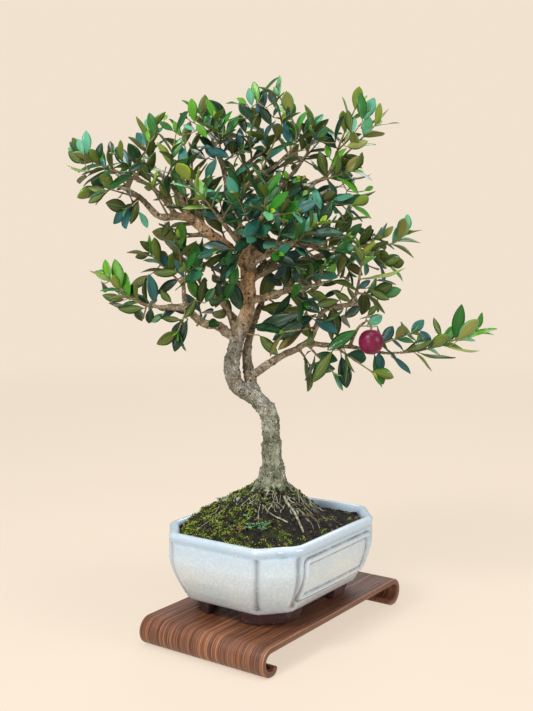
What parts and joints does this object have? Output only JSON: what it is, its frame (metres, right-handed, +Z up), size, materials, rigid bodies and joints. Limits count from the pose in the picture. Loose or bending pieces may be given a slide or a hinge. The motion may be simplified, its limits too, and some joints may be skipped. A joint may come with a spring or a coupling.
{
  "type": "olive bonsai",
  "caption": "Olive tree trained as a bonsai, with a bent trunk, leafy sprays and one ripe fruit, in soil in a glazed octagonal pot on a bentwood stand.",
  "frame": {"origin": "middle of the whole part's footprint, on the surface that the stand rests on", "axes": "+Z up; X along the stand's and the pot's long side; the tree is turned on its own, its widest spread at about 55 degrees to X, with its front towards -X and -Y"},
  "size_m": [0.25, 0.2878, 0.4698],
  "materials": {
    "walnut": "satin",
    "glaze": "gloss",
    "bare_clay": "matte",
    "mesh": "matte",
    "earth": "matte",
    "moss": "matte",
    "bark": "matte",
    "leaf": "satin",
    "fruit": "gloss"
  },
  "bodies": {
    "root": {"stand": "walnut", "pot": "glaze", "drain_screen_left": "mesh", "drain_screen_right": "mesh", "soil": "earth", "tree_wood": "bark", "spray_far_left": "leaf", "spray_left_lower": "leaf", "spray_left_crown": "leaf", "spray_left_shoulder": "leaf", "spray_left_back_shoulder": "leaf", "spray_left_hanging": "leaf", "spray_left_back_top": "leaf", "spray_left_front_top": "leaf", "spray_crown_left": "leaf", "spray_crown_left_front": "leaf", "spray_crown_middle": "leaf", "spray_crown_top": "leaf", "spray_crown_front": "leaf", "spray_crown_right": "leaf", "spray_crown_back": "leaf", "spray_upper_right": "leaf", "spray_upper_right_reach": "leaf", "spray_right_shoulder": "leaf", "spray_right_side": "leaf", "spray_right_middle": "leaf", "spray_right_high": "leaf", "spray_right_reach": "leaf", "spray_right_reach_low": "leaf", "spray_right_inner": "leaf", "spray_right_inner_low": "leaf", "spray_long_tip": "leaf", "spray_long_middle": "leaf", "spray_long_under": "leaf", "spray_long_hanging": "leaf", "spray_long_low": "leaf", "spray_riser_tip": "leaf", "spray_riser_leaves": "leaf", "spray_dark_pair": "leaf", "spray_low_left_tip": "leaf", "spray_low_left_hanging": "leaf", "spray_low_left_crown": "leaf", "spray_low_left_outer": "leaf", "spray_low_left_back": "leaf", "spray_inner_left_tip": "leaf", "spray_back_low_left_tip": "leaf", "spray_back_left_tip": "leaf", "spray_back_left_side": "leaf", "spray_back_top_tip": "leaf", "spray_back_top_side": "leaf", "spray_back_right_tip": "leaf", "spray_back_right_side": "leaf", "spray_back_stem_tip": "leaf", "spray_front_left_tip": "leaf", "spray_front_top_tip": "leaf", "spray_front_top_side": "leaf", "spray_front_right_tip": "leaf", "spray_front_right_side": "leaf", "olive": "fruit"}
  },
  "joints": []
}
